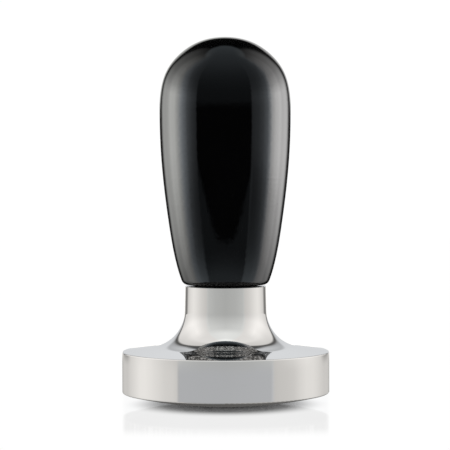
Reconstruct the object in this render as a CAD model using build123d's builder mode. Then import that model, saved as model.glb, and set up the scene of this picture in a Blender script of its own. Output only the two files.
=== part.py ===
from build123d import *

# Espresso tamper: polished steel base with a convex sole, gloss black screw-on handle.
#
# Millimetres, +Z up. The origin is the lowest point of the sole, on the axis of the tool.
# The base, its stud and the handle are turned about Z. The handle screws on to a stud that
# is locked into the neck, so every screw surface shares one helix, in phase along Z.

import os
from math import cos, pi, radians, sin, sqrt, tan

# ---------------------------------------------------------------- base: disc and neck
DISC_R = 29.0  # 58 mm disc, for a 58 mm filter basket
SOLE_R = 125.0  # spherical radius of the convex sole
SOLE_EDGE_R = 28.65  # radius at which the sole meets the lower edge rounding
LOW_EDGE_H = 0.35  # height of the lower edge rounding
TOP_EDGE_FILLET = 0.35
SWEEP_R = 10.5  # concave sweep from the neck into the top of the disc
SWEEP_TOP_Z = 26.4  # height at which the sweep meets the neck
TOP_SLOPE = radians(7.5)  # fall of the disc's top face towards the rim
NECK_R = 11.5  # neck at the foot of its straight part
NECK_TOP_R = 11.35  # neck at its top face
NECK_TOP_Z = 33.2
NECK_EDGE_CHAMFER = 0.2

# ---------------------------------------------------------------- screw joint, M10 x 1.5
PITCH = 1.5
FLANK = tan(radians(30))  # axial run of a flank for each mm of radius
FLANK_STEPS = 16  # spans in the spline that draws a flank
STUD_MAJOR_R = 4.95
STUD_MINOR_R = 4.10
STUD_CREST_HALF = 0.10  # half of the crest's axial width
STUD_LENGTH = 30.0
STUD_RODS = 4  # equal lengths that the long thread is laid up in
STUD_IN_BASE = 14.0
STUD_OVERRUN = 0.5  # thread laid up beyond each end, then trimmed
STUD_CHAMFER = 0.95  # 45 degree end chamfer, measured in from the crest
STUD_TRIM_PLAY = 0.5  # trimming form outside the crest
HEX_AF = 5.0  # hexagon socket across flats
HEX_DEPTH = 5.0
HEX_POINT_HALF_ANGLE = radians(60)

# threaded holes in the neck and in the insert
FLANK_PLAY = 0.08  # axial play on each flank
NUT_MAJOR_R = 5.06
NUT_MINOR_R = 4.25
NUT_TOOL_R = 4.13  # root of the cutting tool's form, inside the drilled bore
NUT_CREST_HALF = STUD_CREST_HALF + FLANK_PLAY - (NUT_MAJOR_R - STUD_MAJOR_R) * FLANK
TAP_DEPTH = 15.0
DRILL_DEPTH = 16.5
DRILL_HALF_ANGLE = radians(118 / 2)
DRILL_OVERRUN = 1.0  # above the mouth
MOUTH_R = 5.45  # 45 degree countersink at each threaded mouth
MOUTH_OVERRUN = 0.5  # countersink form above the mouth
MOUTH_TIP_R = NUT_MINOR_R - 0.4  # small end of the countersink form, inside the bore

# ---------------------------------------------------------------- joint washer
WASHER_IN_R = 5.6
WASHER_OUT_R = 8.8
WASHER_T = 1.0
WASHER_FILLET = 0.15
SEAT_Z = NECK_TOP_Z + WASHER_T
SEAT_R = 9.0  # seat for the washer in the underside of the handle

# ---------------------------------------------------------------- handle
GAP = 0.3  # daylight between the neck and the handle
HANDLE_BOTTOM_Z = NECK_TOP_Z + GAP
HANDLE_TOP_Z = 102.8
HANDLE_FOOT_R = 11.8
HANDLE_PROFILE = [  # radius, height: from the dome down to the foot
    (0.0, HANDLE_TOP_Z),
    (7.3, 101.5),
    (12.6, 98.15),
    (16.5, 93.1),
    (18.1, 87.2),
    (18.35, 80.5),
    (18.05, 71.2),
    (17.2, 61.2),
    (15.9, 51.1),
    (14.15, 41.1),
    (HANDLE_FOOT_R, HANDLE_BOTTOM_Z),
]
FOOT_ANGLE = radians(23.6)  # lean of the side at the foot
FOOT_FILLET = 2.0

# ---------------------------------------------------------------- threaded insert
INSERT_LENGTH = 21.0
INSERT_BODY_R = 6.5  # plain collars below and above the knurl
LOW_COLLAR_H = 1.6
TOP_COLLAR_H = 1.0
KNURL_CREST_R = 7.0
KNURL_ROOT_R = 6.55
KNURL_TEETH = 36
GROOVE_R = 5.95
GROOVE_Z = 9.2  # start of the retaining groove above the insert's mouth
GROOVE_H = 2.4
GROOVE_TOOL_W = 4.0
MOULD_GAP = 0.03  # film between the insert and the moulded handle


def turned(*outline):
    """Solid turned about Z from a closed outline of (radius, height) corners."""
    with BuildPart() as form:
        with BuildSketch(Plane.XZ):
            with BuildLine():
                Polyline(*outline, close=True)
            make_face()
        revolve(axis=Axis.Z)
    return form.part


def circles_at(builder, radius, z):
    """The builder's circular edges of one radius at one height."""
    return builder.edges().filter_by(GeomType.CIRCLE).filter_by(
        lambda e: abs(e.radius - radius) < 0.01 and abs(e.center().Z - z) < 0.01
    )


def screw_rod(z_low, z_high, root_r, crest_r, crest_half):
    """A right-hand threaded rod between two heights, in phase with every other one.

    Its cross-section is twisted along Z, so axial widths become angles in the section.
    """
    turn = 2 * pi / PITCH
    crest_angle = turn * crest_half
    root_angle = turn * (crest_half + (crest_r - root_r) * FLANK)
    start = turn * z_low

    def at(radius, angle):
        return (radius * cos(start + angle), radius * sin(start + angle))

    def flank(side):
        return [
            at(
                crest_r + (root_r - crest_r) * i / FLANK_STEPS,
                side * (crest_angle + (root_angle - crest_angle) * i / FLANK_STEPS),
            )
            for i in range(FLANK_STEPS + 1)
        ]

    with BuildSketch(Plane.XY.offset(z_low)) as section:
        with BuildLine():
            ThreePointArc(at(crest_r, -crest_angle), at(crest_r, 0), at(crest_r, crest_angle))
            Spline(*flank(1))
            ThreePointArc(at(root_r, root_angle), at(root_r, pi), at(root_r, -root_angle))
            Spline(*flank(-1))
        make_face()
    length = z_high - z_low
    return Solid.extrude_linear_with_rotation(
        section.sketch.faces()[0],
        center=(0, 0, z_low),
        normal=(0, 0, length),
        angle=360 * length / PITCH,
    )


def threaded_hole_tools():
    """Drill, tap and countersink, in cutting order, for a mouth facing up at NECK_TOP_Z."""
    drill_z = NECK_TOP_Z - DRILL_DEPTH
    drill = turned(
        (0, NECK_TOP_Z + DRILL_OVERRUN),
        (NUT_MINOR_R, NECK_TOP_Z + DRILL_OVERRUN),
        (NUT_MINOR_R, drill_z),
        (0, drill_z - NUT_MINOR_R / tan(DRILL_HALF_ANGLE)),
    )
    tap = screw_rod(
        NECK_TOP_Z - TAP_DEPTH, NECK_TOP_Z + PITCH, NUT_TOOL_R, NUT_MAJOR_R, NUT_CREST_HALF
    )
    mouth_low_z = NECK_TOP_Z - (MOUTH_R - MOUTH_TIP_R)
    countersink = turned(
        (0, NECK_TOP_Z + MOUTH_OVERRUN),
        (MOUTH_R + MOUTH_OVERRUN, NECK_TOP_Z + MOUTH_OVERRUN),
        (MOUTH_TIP_R, mouth_low_z),
        (0, mouth_low_z),
    )
    return drill, tap, countersink


def sole_z(radius):
    """Height of the spherical sole at a radius from the axis."""
    return SOLE_R - sqrt(SOLE_R**2 - radius**2)


def make_base():
    """Tamping disc and neck, one turned piece, with a threaded hole in the neck."""
    sole_edge = (SOLE_EDGE_R, sole_z(SOLE_EDGE_R))
    sole_tangent = (1.0, SOLE_EDGE_R / sqrt(SOLE_R**2 - SOLE_EDGE_R**2))
    wall_foot = (DISC_R, sole_edge[1] + LOW_EDGE_H)

    def on_sweep(angle):
        """Point on the sweep, at an angle below its horizontal radius at the neck."""
        return (NECK_R + SWEEP_R - SWEEP_R * cos(angle), SWEEP_TOP_Z - SWEEP_R * sin(angle))

    sweep_angle = pi / 2 - TOP_SLOPE
    sweep_end = on_sweep(sweep_angle)
    rim_z = sweep_end[1] - (DISC_R - sweep_end[0]) * tan(TOP_SLOPE)

    with BuildPart() as base:
        with BuildSketch(Plane.XZ):
            with BuildLine():
                ThreePointArc((0, 0), (SOLE_EDGE_R / 2, sole_z(SOLE_EDGE_R / 2)), sole_edge)
                TangentArc(sole_edge, wall_foot, tangent=sole_tangent)
                Polyline(wall_foot, (DISC_R, rim_z), sweep_end)
                ThreePointArc(sweep_end, on_sweep(sweep_angle / 2), (NECK_R, SWEEP_TOP_Z))
                Polyline(
                    (NECK_R, SWEEP_TOP_Z), (NECK_TOP_R, NECK_TOP_Z), (0, NECK_TOP_Z), (0, 0)
                )
            make_face()
        revolve(axis=Axis.Z)
        fillet(circles_at(base, DISC_R, rim_z), TOP_EDGE_FILLET)
        chamfer(circles_at(base, NECK_TOP_R, NECK_TOP_Z), NECK_EDGE_CHAMFER)
        for tool in threaded_hole_tools():
            add(tool, mode=Mode.SUBTRACT)
    return base.part


def make_stud():
    """Threaded stud, chamfered at both ends, with a hexagon socket in the upper one."""
    bottom_z = NECK_TOP_Z - STUD_IN_BASE
    top_z = bottom_z + STUD_LENGTH
    rod_length = (STUD_LENGTH + 2 * STUD_OVERRUN) / STUD_RODS
    tip_r = STUD_MAJOR_R - STUD_CHAMFER
    trim_r = STUD_MAJOR_R + STUD_TRIM_PLAY
    trim_h = trim_r - tip_r
    socket_z = top_z - HEX_DEPTH

    with BuildPart() as stud:
        for i in range(STUD_RODS):
            low = bottom_z - STUD_OVERRUN + i * rod_length
            add(screw_rod(low, low + rod_length, STUD_MINOR_R, STUD_MAJOR_R, STUD_CREST_HALF))
        trim = turned(
            (0, bottom_z),
            (tip_r, bottom_z),
            (trim_r, bottom_z + trim_h),
            (trim_r, top_z - trim_h),
            (tip_r, top_z),
            (0, top_z),
        )
        add(trim, mode=Mode.INTERSECT)
        with BuildSketch(Plane.XY.offset(top_z)):
            RegularPolygon(radius=HEX_AF / 2, side_count=6, major_radius=False)
        extrude(amount=-HEX_DEPTH, mode=Mode.SUBTRACT)
        # drilled point below the socket; its tool overlaps the socket by 0.5
        point = turned(
            (0, socket_z + 0.5),
            (HEX_AF / 2, socket_z + 0.5),
            (HEX_AF / 2, socket_z),
            (0, socket_z - HEX_AF / 2 / tan(HEX_POINT_HALF_ANGLE)),
        )
        add(point, mode=Mode.SUBTRACT)
    return stud.part


def make_washer():
    """Joint washer between the neck and the handle, rounded on its outer edges."""
    with BuildPart() as washer:
        with BuildSketch(Plane.XY.offset(NECK_TOP_Z)):
            Circle(WASHER_OUT_R)
            Circle(WASHER_IN_R, mode=Mode.SUBTRACT)
        extrude(amount=WASHER_T)
        outer_edges = washer.edges().filter_by(GeomType.CIRCLE).filter_by(
            lambda e: e.radius > WASHER_OUT_R - 0.1
        )
        fillet(outer_edges, WASHER_FILLET)
    return washer.part


def knurl(crest_r, root_r):
    """Corner points of a straight-knurled outline."""
    points = []
    for i in range(KNURL_TEETH):
        for radius, half in ((crest_r, 0.0), (root_r, 0.5)):
            angle = 2 * pi * (i + half) / KNURL_TEETH
            points.append((radius * cos(angle), radius * sin(angle)))
    return points


def insert_envelope(play):
    """Outer form of the threaded insert, grown by play for the cavity it is moulded in."""
    with BuildPart() as body:
        with BuildSketch(Plane.XY.offset(SEAT_Z)):
            Circle(INSERT_BODY_R + play)
        extrude(amount=INSERT_LENGTH + play)
        with BuildSketch(Plane.XY.offset(SEAT_Z + LOW_COLLAR_H - play)):
            with BuildLine():
                Polyline(*knurl(KNURL_CREST_R + play, KNURL_ROOT_R + play), close=True)
            make_face()
        extrude(amount=INSERT_LENGTH - LOW_COLLAR_H - TOP_COLLAR_H + 2 * play)
        with BuildSketch(Plane.XZ):
            with Locations((GROOVE_R + play + GROOVE_TOOL_W / 2, SEAT_Z + GROOVE_Z + GROOVE_H / 2)):
                Rectangle(GROOVE_TOOL_W, GROOVE_H - 2 * play)
        revolve(axis=Axis.Z, mode=Mode.SUBTRACT)
    return body.part


def make_insert():
    """Threaded insert, cut with the same tools as the neck.

    It is cut with its mouth upwards, at the height of the neck's own mouth, then turned
    over and brought back into phase with the stud.
    """
    flip_h = NECK_TOP_Z + SEAT_Z
    phase = 360 * ((flip_h / PITCH) % 1)
    blank = insert_envelope(0.0).rotate(Axis.Z, -phase)
    blank = blank.translate((0, 0, -flip_h)).rotate(Axis.X, 180)
    with BuildPart() as insert:
        add(blank)
        for tool in threaded_hole_tools():
            add(tool, mode=Mode.SUBTRACT)
    return insert.part.rotate(Axis.X, 180).translate((0, 0, flip_h)).rotate(Axis.Z, phase)


def make_handle():
    """Domed handle, with the washer's seat and the insert's cavity in its underside."""
    with BuildPart() as handle:
        with BuildSketch(Plane.XZ):
            with BuildLine():
                Spline(
                    *HANDLE_PROFILE,
                    tangents=[(1, 0), (-sin(FOOT_ANGLE), -cos(FOOT_ANGLE))],
                    tangent_scalars=[1, 1],
                )
                Polyline(HANDLE_PROFILE[-1], (0, HANDLE_BOTTOM_Z), (0, HANDLE_TOP_Z))
            make_face()
        revolve(axis=Axis.Z)
        fillet(circles_at(handle, HANDLE_FOOT_R, HANDLE_BOTTOM_Z), FOOT_FILLET)
        with BuildSketch(Plane.XY.offset(HANDLE_BOTTOM_Z)):
            Circle(SEAT_R)
        extrude(amount=SEAT_Z - HANDLE_BOTTOM_Z, mode=Mode.SUBTRACT)
        add(insert_envelope(MOULD_GAP), mode=Mode.SUBTRACT)
    return handle.part


pieces = {
    "base": make_base(),
    "threaded_stud": make_stud(),
    "joint_washer": make_washer(),
    "threaded_insert": make_insert(),
    "handle": make_handle(),
}
os.makedirs("parts", exist_ok=True)
for name, piece in pieces.items():
    piece.label = name
    export_step(piece, f"parts/{name}.step")
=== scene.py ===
# A coffee tamper: a turned steel disc and neck, a threaded stud and brass insert, a rubber
# washer and a black lacquered handle. It stands upright on z = 0 with its axis on Z, and the
# camera looks at it from -Y, with +X to the right. Metres throughout.
import math
from math import radians

import bpy
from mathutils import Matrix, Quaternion, Vector


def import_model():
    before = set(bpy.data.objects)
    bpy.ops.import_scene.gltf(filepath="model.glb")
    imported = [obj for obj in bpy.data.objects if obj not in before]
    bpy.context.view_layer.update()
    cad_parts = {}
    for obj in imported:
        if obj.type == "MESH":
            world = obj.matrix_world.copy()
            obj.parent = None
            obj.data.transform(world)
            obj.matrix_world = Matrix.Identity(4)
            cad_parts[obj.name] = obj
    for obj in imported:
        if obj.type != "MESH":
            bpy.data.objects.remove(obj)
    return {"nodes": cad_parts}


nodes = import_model()["nodes"]
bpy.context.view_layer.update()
scene = bpy.context.scene
scene.view_settings.view_transform = "Standard"
scene.view_settings.look = "None"
scene.view_settings.exposure = 0.0
scene.view_settings.gamma = 1.0

# ---- the turned steel base: radii and heights
SWEEP_CENTRE_RADIUS = 0.0220  # centre of the concave sweep from the neck into the disc
SWEEP_CENTRE_HEIGHT = 0.0264
SWEEP_END_RADIUS = 0.02063  # where the sweep meets the flat cone on top of the disc
SWEEP_BLEND = 0.00002  # half width of the blend at either end of the sweep
NECK_TAPER = math.atan2(0.00015, 0.0068)
TOP_SLOPE = radians(7.5)
TOP_CORNER_HEIGHT = 0.01475
LOW_CORNER_HEIGHT = 0.0037
CORNER_WEAR_REACH = 0.0007


# ------------------------------------------------------------------ node helpers
class Signal:
    """An output of a node. Arithmetic on it adds math nodes."""

    def __init__(self, net, socket):
        self.net = net
        self.socket = socket

    def __add__(self, other):
        return self.net.math("ADD", self, other)

    def __radd__(self, other):
        return self.net.math("ADD", other, self)

    def __sub__(self, other):
        return self.net.math("SUBTRACT", self, other)

    def __rsub__(self, other):
        return self.net.math("SUBTRACT", other, self)

    def __mul__(self, other):
        return self.net.math("MULTIPLY", self, other)

    def __truediv__(self, other):
        return self.net.math("DIVIDE", self, other)

    def __pow__(self, other):
        return self.net.math("POWER", self, other)

    def __abs__(self):
        return self.net.math("ABSOLUTE", self)


class Net:
    """Small builder for shader node trees. Node kinds go without their ShaderNode prefix."""

    def __init__(self, tree):
        self.tree = tree
        tree.nodes.clear()

    def make(self, kind, inputs=None, **props):
        made = self.tree.nodes.new("ShaderNode" + kind)
        for name, value in props.items():
            setattr(made, name, value)
        for key, value in (inputs or {}).items():
            if isinstance(value, Signal):
                self.tree.links.new(value.socket, made.inputs[key])
            else:
                made.inputs[key].default_value = value
        return made

    def node(self, kind, inputs=None, out=0, **props):
        """Make a node and return one of its outputs."""
        return Signal(self, self.make(kind, inputs, **props).outputs[out])

    def math(self, operation, *operands):
        return self.node("Math", dict(enumerate(operands)), operation=operation)

    def map_range(self, kind, x, start, end, low, high):
        inputs = {"Value": x, "From Min": start, "From Max": end, "To Min": low, "To Max": high}
        return self.node("MapRange", inputs, interpolation_type=kind)

    def smooth(self, x, start, end, low=0.0, high=1.0):
        """Ease from low to high as x runs from start to end, which may fall."""
        return self.map_range("SMOOTHSTEP", x, start, end, low, high)

    def smooth_deg(self, x, start, end, low=0.0, high=1.0):
        """The same for an angle, with start and end in degrees."""
        return self.smooth(x, radians(start), radians(end), low, high)

    def ramp(self, x, start, end):
        return self.map_range("LINEAR", x, start, end, 0.0, 1.0)

    def lerp(self, factor, a, b):
        return self.node("Mix", {0: factor, 2: a, 3: b}, data_type="FLOAT")

    def lerp_vector(self, factor, a, b):
        return self.node("Mix", {0: factor, 4: a, 5: b}, out=1, data_type="VECTOR")

    def tint(self, factor, a, b):
        return self.node("Mix", {0: factor, 6: a, 7: b}, out=2, data_type="RGBA")

    def scale_colour(self, colour, factor):
        """A colour times a number, with values above one kept."""
        return self.node("VectorMath", {0: colour, "Scale": factor}, operation="SCALE")

    def add_colour(self, a, b):
        return self.node("VectorMath", {0: a, 1: b}, operation="ADD")

    def normalize(self, vector):
        return self.node("VectorMath", {0: vector}, operation="NORMALIZE")

    def split(self, vector):
        return [Signal(self, out) for out in self.make("SeparateXYZ", {0: vector}).outputs]

    def vector(self, x, y, z):
        return self.node("CombineXYZ", {0: x, 1: y, 2: z})

    def length(self, x, y):
        return self.math("SQRT", x * x + y * y)

    def object_point(self):
        return self.node("TexCoord", out="Object")

    def noise(self, vector, scale, detail=2.0, rough=0.5, distortion=0.0):
        inputs = {
            "Vector": vector,
            "Scale": scale,
            "Detail": detail,
            "Roughness": rough,
            "Distortion": distortion,
        }
        return self.node("TexNoise", inputs, noise_dimensions="3D")

    def bump(self, height, distance, **inputs):
        inputs = {"Height": height, "Distance": distance, "Strength": 1.0, **inputs}
        return self.node("Bump", inputs)

    def mix_shader(self, factor, a, b):
        return self.node("MixShader", {0: factor, 1: a, 2: b})

    def output(self, shader, kind="OutputMaterial"):
        self.make(kind, {0: shader})

    def principled(self, **inputs):
        inputs = {name.replace("_", " "): value for name, value in inputs.items()}
        self.output(self.node("BsdfPrincipled", inputs))


def rgb(red, green, blue):
    return (red, green, blue, 1.0)


BLACK = rgb(0, 0, 0)
WHITE = rgb(1, 1, 1)


def new_material(name):
    made = bpy.data.materials.new(name)
    made.use_nodes = True
    return made, Net(made.node_tree)


def round_coords(net):
    """Object coordinates, with radius and angle about the tamper's axis."""
    point = net.object_point()
    x, y, z = net.split(point)
    return point, x, y, z, net.length(x, y), net.math("ARCTAN2", y, x)


# ------------------------------------------------------------------ materials
def swept_normal(net, x, y, z, radius):
    """The true normal of the turned outline, so that reflections run smoothly round the sweep."""
    outward = SWEEP_CENTRE_RADIUS - radius
    upward = SWEEP_CENTRE_HEIGHT - z
    # above the sweep the neck tapers a little; below it the top of the disc is a flat cone
    neck_start = SWEEP_CENTRE_HEIGHT
    on_neck = net.smooth(z, neck_start - SWEEP_BLEND, neck_start + SWEEP_BLEND)
    on_top = net.smooth(radius, SWEEP_END_RADIUS - SWEEP_BLEND, SWEEP_END_RADIUS + SWEEP_BLEND)
    outward = net.lerp(on_neck, outward, math.cos(NECK_TAPER))
    upward = net.lerp(on_neck, upward, math.sin(NECK_TAPER))
    outward = net.lerp(on_top, outward, math.sin(TOP_SLOPE))
    upward = net.lerp(on_top, upward, math.cos(TOP_SLOPE))
    turned = net.vector(outward * (x / radius), outward * (y / radius), upward)
    turned = net.normalize(turned)
    mesh_normal = net.node("NewGeometry", out="Normal")
    # only between these heights and radii; the mesh's own normal holds elsewhere
    above_corner = net.smooth(z, 0.01470, 0.01478)
    below_neck_end = net.smooth(z, 0.03298, 0.03294)
    outside_neck = net.smooth(radius, 0.01128, 0.01132)
    inside_rim = net.smooth(radius, 0.02862, 0.02858)
    where = above_corner * below_neck_end * outside_neck * inside_rim
    return net.lerp_vector(where, mesh_normal, turned)


def near_corner(net, z, height):
    """1 at the height of a corner of the disc, easing to 0 at the reach of the wear."""
    return 1.0 - net.smooth(abs(z - height), 0.0, CORNER_WEAR_REACH)


def polished_steel(net):
    point, x, y, z, radius, angle = round_coords(net)
    # turning marks: one pattern over radius and height, each at its own scale
    across = net.vector(radius * 1.0, z * 1.0, 0.0)
    fine = net.noise(across, scale=9000.0, detail=3.0, rough=0.6)
    wide = net.noise(across, scale=1500.0)
    # hairlines left by polishing, long round the axis, with no shift across it
    hair_at = net.vector(angle * 0.004, radius + 0.0, z + 0.0)
    hair = net.noise(hair_at, scale=2600.0, detail=4.0, rough=0.7, distortion=0.4)
    hairline = net.smooth(hair, 0.60, 0.72)
    smudge = net.noise(point, scale=55.0, detail=4.0, rough=0.62, distortion=0.6)
    smudge = net.smooth(smudge, 0.47, 0.72)
    # the two corners of the disc get the handling wear
    top_corner = near_corner(net, z, TOP_CORNER_HEIGHT)
    low_corner = near_corner(net, z, LOW_CORNER_HEIGHT)
    outer = net.smooth(radius, 0.0282, 0.0288)
    wear = net.math("MAXIMUM", top_corner, low_corner) * outer
    nick = net.smooth(net.noise(point, scale=900.0, rough=0.6), 0.56, 0.70)
    worn = wear * nick
    sole = net.smooth(z, LOW_CORNER_HEIGHT, 0.0030) * net.smooth(radius, 0.0291, 0.0286)
    # each mark roughens the polish by its own amount
    rough = 0.040 + smudge * 0.045 + hairline * 0.05 + worn * 0.14 + sole * 0.07
    cloud = net.noise(point, scale=30.0, detail=3.0)
    tone = net.tint(cloud, rgb(0.662, 0.660, 0.656), rgb(0.702, 0.700, 0.696))
    tone = net.tint(hairline * 0.15, tone, rgb(0.60, 0.60, 0.60))
    # relief, in units of the bump distance; hairlines and wear cut in
    grooves = net.noise(net.vector(radius, 0.0, 0.0), scale=2600.0)
    height = fine * 0.5 + wide * 0.5 + hairline * -0.35 + worn * -2.0 + sole * (grooves * 3.0)
    normal = net.bump(height, distance=0.0000009, Normal=swept_normal(net, x, y, z, radius))
    net.principled(
        Base_Color=tone, Metallic=1.0, Roughness=rough, Normal=normal, Anisotropic=0.15
    )


def plain_steel(net):
    point, _, _, z, radius, angle = round_coords(net)
    crest = net.smooth(radius, 0.0041, 0.0049)  # 0 in the thread's root, 1 on its crest
    marks_at = net.vector(angle * 0.0008, radius, z)
    turned = net.noise(marks_at, scale=7000.0, detail=3.0, rough=0.6)
    blotch = net.noise(point, scale=420.0, detail=4.0, rough=0.6, distortion=0.5)
    tone = net.tint(crest, rgb(0.20, 0.195, 0.19), rgb(0.56, 0.555, 0.545))
    tone = net.tint(net.smooth(blotch, 0.45, 0.75), tone, rgb(0.36, 0.345, 0.33))
    rough = net.lerp(crest, 0.46, 0.24) + turned * 0.14
    normal = net.bump(turned + blotch * 0.5, distance=0.000006)
    net.principled(Base_Color=tone, Metallic=1.0, Roughness=rough, Normal=normal)


def insert_brass(net):
    point, _, _, z, radius, angle = round_coords(net)
    crest = net.smooth(radius, 0.0064, 0.00695)
    marks_at = net.vector(angle * 0.0006, radius, z)
    turned = net.noise(marks_at, scale=8000.0, detail=3.0, rough=0.6)
    stain = net.noise(point, scale=380.0, detail=4.0, rough=0.6, distortion=0.7)
    tone = net.tint(crest, rgb(0.50, 0.31, 0.105), rgb(0.80, 0.58, 0.25))
    tone = net.tint(net.smooth(stain, 0.5, 0.78), tone, rgb(0.36, 0.20, 0.08))
    rough = 0.22 + stain * 0.22
    normal = net.bump(turned + stain * 0.4, distance=0.000007)
    net.principled(Base_Color=tone, Metallic=1.0, Roughness=rough, Normal=normal)


def washer_rubber(net):
    point = net.object_point()
    grain = net.noise(point, scale=5200.0, detail=4.0, rough=0.65)
    bloom = net.smooth(net.noise(point, scale=420.0, detail=3.0, rough=0.6), 0.4, 0.75)
    tone = net.tint(bloom, rgb(0.014, 0.014, 0.015), rgb(0.032, 0.032, 0.033))
    rough = 0.52 + grain * 0.22
    normal = net.bump(grain, distance=0.00002)
    net.principled(Base_Color=tone, Metallic=0.0, Roughness=rough, Normal=normal, IOR=1.5)


def handle_black(net):
    point, _, _, z, radius, angle = round_coords(net)
    # the lacquer's uneven surface: a small ripple on a wide swell
    peel = net.noise(point, scale=620.0, rough=0.45)
    swell = net.noise(point, scale=110.0)
    smudge = net.noise(point, scale=48.0, detail=4.0, rough=0.62, distortion=0.8)
    smudge = net.smooth(smudge, 0.48, 0.74)
    hair_at = net.vector(angle * 0.006, radius, z)
    hair = net.noise(hair_at, scale=1500.0, detail=4.0, rough=0.7, distortion=0.6)
    hair = net.smooth(hair, 0.63, 0.74)
    speck = net.smooth(net.noise(point, scale=1700.0, detail=1.0), 0.74, 0.80)
    tone = net.tint(swell, rgb(0.0009, 0.0009, 0.0010), rgb(0.0017, 0.0017, 0.0019))
    tone = net.tint(speck * 0.30, tone, rgb(0.012, 0.012, 0.013))
    rough = 0.055 + smudge * 0.050 + hair * 0.05 + speck * 0.16
    normal = net.bump(peel * 0.7 + swell * 1.3 + hair * -0.25, distance=0.0000030)
    net.principled(Base_Color=tone, Metallic=0.0, Roughness=rough, Normal=normal, IOR=1.54)


LOOKS = {
    "base": polished_steel,
    "threaded_stud": plain_steel,
    "joint_washer": washer_rubber,
    "threaded_insert": insert_brass,
    "handle": handle_black,
}
for piece_name, shade in LOOKS.items():
    piece = nodes[piece_name]
    look, look_net = new_material(shade.__name__)
    shade(look_net)
    piece.data.materials.clear()
    piece.data.materials.append(look)


# ------------------------------------------------------------------ world
def build_world():
    """White to the camera, softer for diffuse light, and black in reflections."""
    world = bpy.data.worlds.new("studio")
    scene.world = world
    world.use_nodes = True
    net = Net(world.node_tree)
    seen = net.node("Background", {"Color": WHITE, "Strength": 1.02})
    soft = net.node("Background", {"Color": WHITE, "Strength": 0.75})
    none = net.node("Background", {"Color": BLACK, "Strength": 0.0})
    is_camera = net.node("LightPath", out="Is Camera Ray")
    is_diffuse = net.node("LightPath", out="Is Diffuse Ray")
    unseen = net.mix_shader(is_diffuse, none, soft)
    net.output(net.mix_shader(is_camera, unseen, seen), "OutputWorld")


# ------------------------------------------------------------------ surroundings: helpers
def stage_mesh(name, verts, faces):
    mesh = bpy.data.meshes.new(name)
    mesh.from_pydata(verts, [], faces)
    made = bpy.data.objects.new(name, mesh)
    scene.collection.objects.link(made)
    return made


def dome(name, radius, lowest):
    """A tent round the object, from an elevation in degrees up to the zenith."""
    rows, cols = 24, 48
    verts, faces = [], []
    for i in range(rows + 1):
        elevation = radians(lowest + (90 - lowest) * i / rows)
        for j in range(cols):
            azimuth = 2 * math.pi * j / cols
            x = radius * math.cos(elevation) * math.sin(azimuth)
            y = -radius * math.cos(elevation) * math.cos(azimuth)
            verts.append((x, y, radius * math.sin(elevation)))
    for i in range(rows):
        low, high = i * cols, (i + 1) * cols
        for j in range(cols):
            k = (j + 1) % cols
            faces.append((low + j, low + k, high + k, high + j))
    return stage_mesh(name, verts, faces)


def disc(name, radius, height):
    count = 96
    turns = [2 * math.pi * i / count for i in range(count)]
    verts = [(radius * math.cos(turn), radius * math.sin(turn), height) for turn in turns]
    return stage_mesh(name, verts, [tuple(range(count))])


def stage_material(owner, name):
    made, net = new_material(name)
    made.cycles.emission_sampling = "NONE"
    owner.data.materials.append(made)
    return net


def seen_only_by(shown, name, receivers):
    """These surroundings show up only in the polished surfaces of the receivers."""
    group = bpy.data.collections.new(name)
    for receiver in receivers:
        group.objects.link(receiver)
    shown.light_linking.receiver_collection = group
    shown.visible_camera = False
    shown.visible_diffuse = False
    shown.visible_shadow = False
    shown.visible_transmission = False


def dome_bearings(net):
    """Direction of a point on a dome, its azimuth (0 to the camera, + to the right), elevation."""
    x, y, z = net.split(net.normalize(net.object_point()))
    azimuth = net.math("ARCTAN2", x, y * -1.0)
    return (x, y, z), azimuth, net.math("ARCSINE", z)


def levels(net, angle, stops, top):
    """A lighting level that runs through (degrees, level) stops.

    The ramp holds levels as a share of top, which scales them back up."""
    first, last = stops[0][0], stops[-1][0]
    position = net.ramp(angle, radians(first), radians(last))
    ramp = net.make("ValToRGB", {0: position})
    ramp.color_ramp.interpolation = "LINEAR"
    elements = ramp.color_ramp.elements
    while len(elements) < len(stops):
        elements.new(0.5)
    for element, (at, level) in zip(elements, stops):
        element.position = (at - first) / (last - first)
        element.color = rgb(*[level / top] * 3)
    return net.node("SeparateColor", {0: Signal(net, ramp.outputs[0])}) * top


def glow(net, colour):
    """A surface that only glows: light passes it, so it never hides another."""
    light = net.node("Emission", {"Color": colour, "Strength": 1.0})
    clear = net.node("BsdfTransparent")
    net.output(net.node("AddShader", {0: light, 1: clear}))


def first_bounce(net):
    """1 where mirrored once, low and mottled where a reflection is itself reflected."""
    depth = net.node("LightPath", out="Glossy Depth")
    clutter = net.noise(net.object_point(), scale=7.0, detail=4.0, rough=0.65)
    again = net.smooth(clutter, 0.46, 0.62, low=0.08, high=0.70)
    return net.lerp(net.ramp(depth, 1.4, 1.6), 1.0, again)


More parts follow.
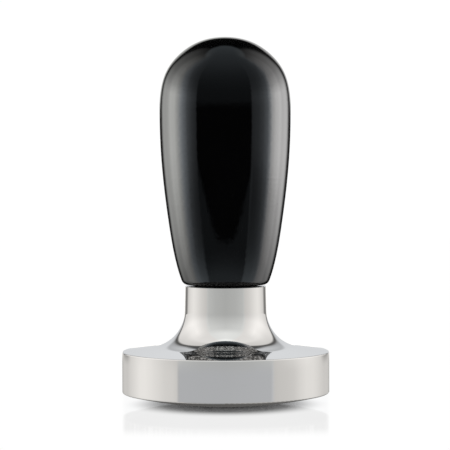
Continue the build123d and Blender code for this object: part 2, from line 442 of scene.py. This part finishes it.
# ------------------------------------------------------------------ tent, seen by the steel
# (degrees, level): off the camera's bearing, to either side; TENT_BEHIND by front-to-back pitch
TENT_TOP = 1.6
TENT_RING = [
    (0, 0.58), (28, 0.62), (48, 0.68), (54, 0.78), (70, 0.90), (90, 1.08), (102, 1.14),
    (118, 1.08), (130, 0.98), (146, 0.84), (150, 0.16), (153, 0.16), (157, 0.56), (162, 0.70),
    (170, 0.73), (180, 0.77),
]
TENT_EAVES = [
    (0, 0.80), (45, 0.90), (70, 1.12), (91, 1.33), (110, 1.22), (128, 1.02), (146, 0.88),
    (150, 0.14), (153, 0.14), (158, 0.60), (164, 0.76), (180, 0.80),
]
TENT_RIDGE = [
    (0, 1.12), (67, 1.04), (91, 1.06), (115, 1.08), (128, 0.94), (146, 0.86), (150, 0.12),
    (153, 0.12), (158, 0.58), (166, 0.72), (180, 0.76),
]
TENT_BEHIND = [
    (0, 0.50), (92, 0.50), (104, 0.36), (118, 0.30), (124, 0.45), (130, 1.15), (150, 1.15),
    (156, 0.60), (180, 0.60),
]


def build_tent():
    tent = dome("tent_for_steel", radius=2.2, lowest=0.0)
    net = stage_material(tent, "tent_for_steel")
    (_, y, z), azimuth, elevation = dome_bearings(net)
    side = abs(azimuth)
    pitch = net.math("ARCTAN2", z, y * -1.0)
    # the low ring, brighter upwards, and dimmed above the panels at the back
    ring = levels(net, side, TENT_RING, TENT_TOP)
    ring = ring * net.smooth_deg(elevation, 0, 22, low=1.0, high=1.20)
    above_panel = net.smooth_deg(elevation, 25, 19, low=0.6, high=1.0)
    ring = ring * net.lerp(net.smooth_deg(side, 145, 155), 1.0, above_panel)
    # the roof, from eaves to ridge to a bright zenith
    eaves = levels(net, side, TENT_EAVES, TENT_TOP)
    ridge = levels(net, side, TENT_RIDGE, TENT_TOP)
    roof = net.lerp(net.smooth_deg(elevation, 40, 62), eaves, ridge)
    roof = net.lerp(net.smooth_deg(elevation, 74, 88), roof, 1.42)
    # high at the back the level follows the pitch, and only close to the middle
    behind = levels(net, pitch, TENT_BEHIND, TENT_TOP)
    behind = net.lerp(net.smooth_deg(side, 166, 174), 0.10, behind)
    high_back = net.smooth_deg(side, 151, 156) * net.smooth_deg(elevation, 40, 50)
    high = net.lerp(high_back, roof, behind)
    level = net.lerp(net.smooth_deg(elevation, 16, 40), ring, high)
    # warm sides, greenish front, bluish back
    in_front = net.smooth_deg(side, 60, 50)
    colour = net.tint(in_front, rgb(1.0, 0.975, 0.945), rgb(0.985, 0.997, 0.978))
    colour = net.tint(net.smooth_deg(side, 148, 160), colour, rgb(0.955, 0.975, 1.0))
    glow(net, net.scale_colour(colour, level * first_bounce(net)))
    return tent


# ------------------------------------------------------------------ room, seen by the handle
# (degrees, level): the light boxes off the camera's bearing, and their share by elevation
BOX_TOP = 6.5
LEFT_BOX = [
    (0, 0.0), (50, 0.0), (52, 0.30), (60, 0.52), (70, 1.05), (80, 2.5), (90, 4.2), (100, 5.6),
    (112, 4.7), (120, 3.1), (128, 2.25), (138, 1.65), (145, 0.8), (149, 0.12), (156, 0.03),
    (180, 0.04),
]
RIGHT_BOX = [
    (0, 0.0), (46, 0.0), (48, 0.30), (60, 0.42), (70, 0.72), (80, 1.40), (86, 2.9), (90, 4.6),
    (100, 5.9), (112, 5.6), (120, 4.0), (130, 3.2), (138, 2.3), (145, 0.7), (149, 0.12),
    (156, 0.03), (180, 0.04),
]
BOX_BY_ELEVATION = [
    (-90, 0.10), (-60, 0.18), (-35, 0.28), (-19, 0.36), (-11, 0.56), (-7.5, 0.74),
    (-4.5, 0.90), (0, 1.0), (12, 1.0), (20, 0.60), (30, 0.36), (45, 0.22), (65, 0.07),
    (78, 0.0), (90, 0.0),
]


def build_room():
    room = dome("room_for_handle", radius=2.0, lowest=-90.0)
    net = stage_material(room, "room_for_handle")
    (x, _, _), azimuth, elevation = dome_bearings(net)
    side = abs(azimuth)
    right = net.smooth(x, -0.02, 0.02)
    left_box = levels(net, side, LEFT_BOX, BOX_TOP)
    right_box = levels(net, side, RIGHT_BOX, BOX_TOP)
    box = net.lerp(right, left_box, right_box)
    box = box * levels(net, elevation, BOX_BY_ELEVATION, 1.0)
    # the right box is a little weaker low down
    box = box * net.lerp(right * net.smooth_deg(elevation, -2, -8), 1.0, 0.80)
    # the front stays black down to the table's edge, which is ragged and rises to the sides
    ragged_at = net.vector(azimuth * 3.0, elevation * 6.0, 0.0)
    ragged = net.noise(ragged_at, scale=5.0, detail=4.0, rough=0.6)
    curve = (side / radians(40)) ** 2.0
    edge = radians(-18.6) + curve * radians(9) + (ragged - 0.5) * radians(5)
    table = net.smooth_deg(edge - elevation, 0, 3)
    in_front = net.smooth_deg(side, 53, 49)
    table_level = 0.10 + net.smooth_deg(elevation, -20, -40) * 0.22
    front = table * in_front * table_level
    # beside the table, a dim floor that reaches up between it and the panels
    beside = net.smooth_deg(elevation, -8, -44) * net.smooth_deg(side, 46, 54)
    front = front + beside * net.smooth_deg(side, 100, 74) * 0.80
    # overhead: bluish, stronger behind the zenith
    over_front = net.smooth_deg(elevation, 8, 85, low=0.08, high=0.36)
    over_back = net.smooth_deg(elevation, 66, 71, low=0.0, high=0.38)
    over = net.lerp(net.smooth_deg(side, 80, 110), over_front, over_back)
    over = over * net.smooth_deg(elevation, 5, 10)
    # a low bright band at the back
    band = net.smooth_deg(side, 152, 164) * net.smooth_deg(elevation, 34, 26)
    band = band * net.smooth_deg(elevation, 4, 8) * 0.85
    warm = net.tint(right, rgb(0.985, 0.99, 0.96), rgb(1.0, 0.99, 0.985))
    warm = net.tint(net.smooth_deg(side, 96, 78), warm, rgb(0.86, 0.93, 1.0))
    lit = net.scale_colour(warm, box + band)
    dim = net.scale_colour((0.80, 0.92, 1.0), over + front)
    glow(net, net.add_colour(lit, dim))
    return room


# ------------------------------------------------------------------ pale floor
def build_floor():
    floor = disc("floor", radius=2.0, height=0.0)
    net = stage_material(floor, "pale_floor")
    point = net.object_point()
    x, y, _ = net.split(point)
    radius = net.length(x, y)
    occlusion = net.node("AmbientOcclusion", {"Distance": 0.015}, out="AO", samples=24)
    speckle = net.noise(point, scale=900.0, detail=3.0, rough=0.6)
    # white paper under gloss: it glows rather than being lit, and the contact shadow is painted
    # into the glow from ambient occlusion
    lit = net.lerp(net.smooth(radius, 0.0300, 0.0170), 1.0, occlusion ** 0.38)
    shade = net.tint(lit, BLACK, WHITE)
    paper = net.node("Emission", {"Color": shade, "Strength": 1.0 + speckle * 0.01})
    gloss = net.node("BsdfGlossy", {"Color": WHITE, "Roughness": 0.05 + speckle * 0.02})
    # the mirror image under the disc fades towards the viewer
    view_x, view_y, _ = net.split(net.node("NewGeometry", out="Incoming"))
    flat = net.math("MAXIMUM", net.length(view_x, view_y), 0.0001)
    view_x, view_y = view_x / flat, view_y / flat
    nearer = x * view_x + y * view_y
    aside = abs(x * view_y - y * view_x)
    fade = net.smooth(nearer, 0.075, 0.045, low=0.0, high=0.16)
    fade = fade * net.smooth(radius, 0.075, 0.055) * net.smooth(aside, 0.0296, 0.0278)
    # and only shows at a low angle
    facing = net.node("LayerWeight", {"Blend": 0.5}, out="Facing")
    surface = net.mix_shader(fade * net.smooth(facing, 0.62, 0.80), paper, gloss)
    clear = net.node("BsdfTransparent")
    # seen from above by the camera, and clear from below so that the sole can be looked at
    is_camera = net.node("LightPath", out="Is Camera Ray")
    from_above = is_camera * (1.0 - net.node("NewGeometry", out="Backfacing"))
    net.output(net.mix_shader(from_above, clear, surface))
    floor.visible_diffuse = False
    floor.visible_shadow = False
    return floor


# ------------------------------------------------------------------ floor, seen by the steel, glowing with its light and shade painted in
# (degrees, level) by the bearing of the reflected ray: near the disc on each side, and far
SHEET_TOP = 1.3
NEAR_LEFT = [
    (0, 0.62), (53, 0.635), (55, 0.84), (60, 0.90), (70, 0.93), (80, 1.02), (90, 1.10),
    (100, 1.16), (110, 1.15), (120, 1.03), (130, 0.92), (140, 0.79), (150, 0.76), (160, 0.66),
    (166, 0.48), (180, 0.40),
]
NEAR_RIGHT = [
    (0, 0.62), (50, 0.645), (53, 0.75), (60, 0.79), (70, 0.81), (80, 0.85), (90, 0.97),
    (100, 1.05), (112, 1.05), (120, 0.99), (130, 0.89), (140, 0.80), (150, 0.76), (160, 0.68),
    (166, 0.50), (180, 0.42),
]
FAR = [
    (0, 0.58), (28, 0.62), (48, 0.70), (54, 0.78), (70, 0.90), (90, 1.08), (102, 1.15),
    (115, 1.06), (130, 0.88), (137, 0.44), (142, 0.24), (150, 0.24), (156, 0.42), (163, 0.9),
    (168, 1.25), (180, 1.25),
]
NEAR_TO_FAR = (0.13, 0.20)  # radii between which near gives way to far


def build_floor_sheet():
    sheet = disc("floor_for_steel", radius=2.215, height=-0.0002)
    net = stage_material(sheet, "floor_for_steel")
    x, y, _ = net.split(net.object_point())
    radius = net.length(x, y)
    # the bearing along which the reflected ray runs
    view_x, view_y, _ = net.split(net.node("NewGeometry", out="Incoming"))
    side = abs(net.math("ARCTAN2", view_x * -1.0, view_y))
    right = net.smooth(view_x, 0.02, -0.02)
    near_left = levels(net, side, NEAR_LEFT, SHEET_TOP)
    near_right = levels(net, side, NEAR_RIGHT, SHEET_TOP)
    near = net.lerp(right, near_left, near_right)
    far = levels(net, side, FAR, SHEET_TOP)
    level = net.lerp(net.smooth(radius, *NEAR_TO_FAR), near, far)
    # a contact shadow painted into the glow from ambient occlusion
    occlusion = net.node("AmbientOcclusion", {"Distance": 0.03}, out="AO", samples=16)
    level = level * net.lerp(occlusion, 0.25, 1.0)
    outer = net.smooth(radius, *NEAR_TO_FAR)
    front_tint = net.tint(outer, rgb(0.955, 0.972, 1.0), rgb(0.985, 0.997, 0.975))
    tint = net.tint(net.smooth_deg(side, 56, 51), rgb(1.0, 0.975, 0.940), front_tint)
    glow(net, net.scale_colour(tint, level * first_bounce(net)))
    return sheet


# ------------------------------------------------------------------ camera
def build_camera():
    tilt = 0.015937257  # radians, downwards
    pan = 0.0002361275  # radians, to the left: the axis stands a little right of the middle
    roll = radians(-0.15)
    data = bpy.data.cameras.new("camera")
    camera = bpy.data.objects.new("camera", data)
    scene.collection.objects.link(camera)
    data.sensor_width = 36.0
    data.lens = 135.52
    data.clip_start = 0.01
    data.clip_end = 20.0
    camera.location = (0.0, -0.475, 0.0578)
    aim = Vector((-math.sin(pan), math.cos(pan), -math.tan(tilt))).normalized()
    camera.rotation_mode = "QUATERNION"
    level_view = aim.to_track_quat("-Z", "Y")
    camera.rotation_quaternion = level_view @ Quaternion((0, 0, 1), roll)
    scene.camera = camera


build_world()
tent = build_tent()
room = build_room()
floor = build_floor()
sheet = build_floor_sheet()
steel_side = [nodes[n] for n in ("base", "threaded_stud", "threaded_insert", "joint_washer")]
seen_only_by(tent, "sees_tent", steel_side + [floor])
seen_only_by(sheet, "sees_floor_sheet", steel_side)
seen_only_by(room, "sees_room", [nodes["handle"]])
build_camera()
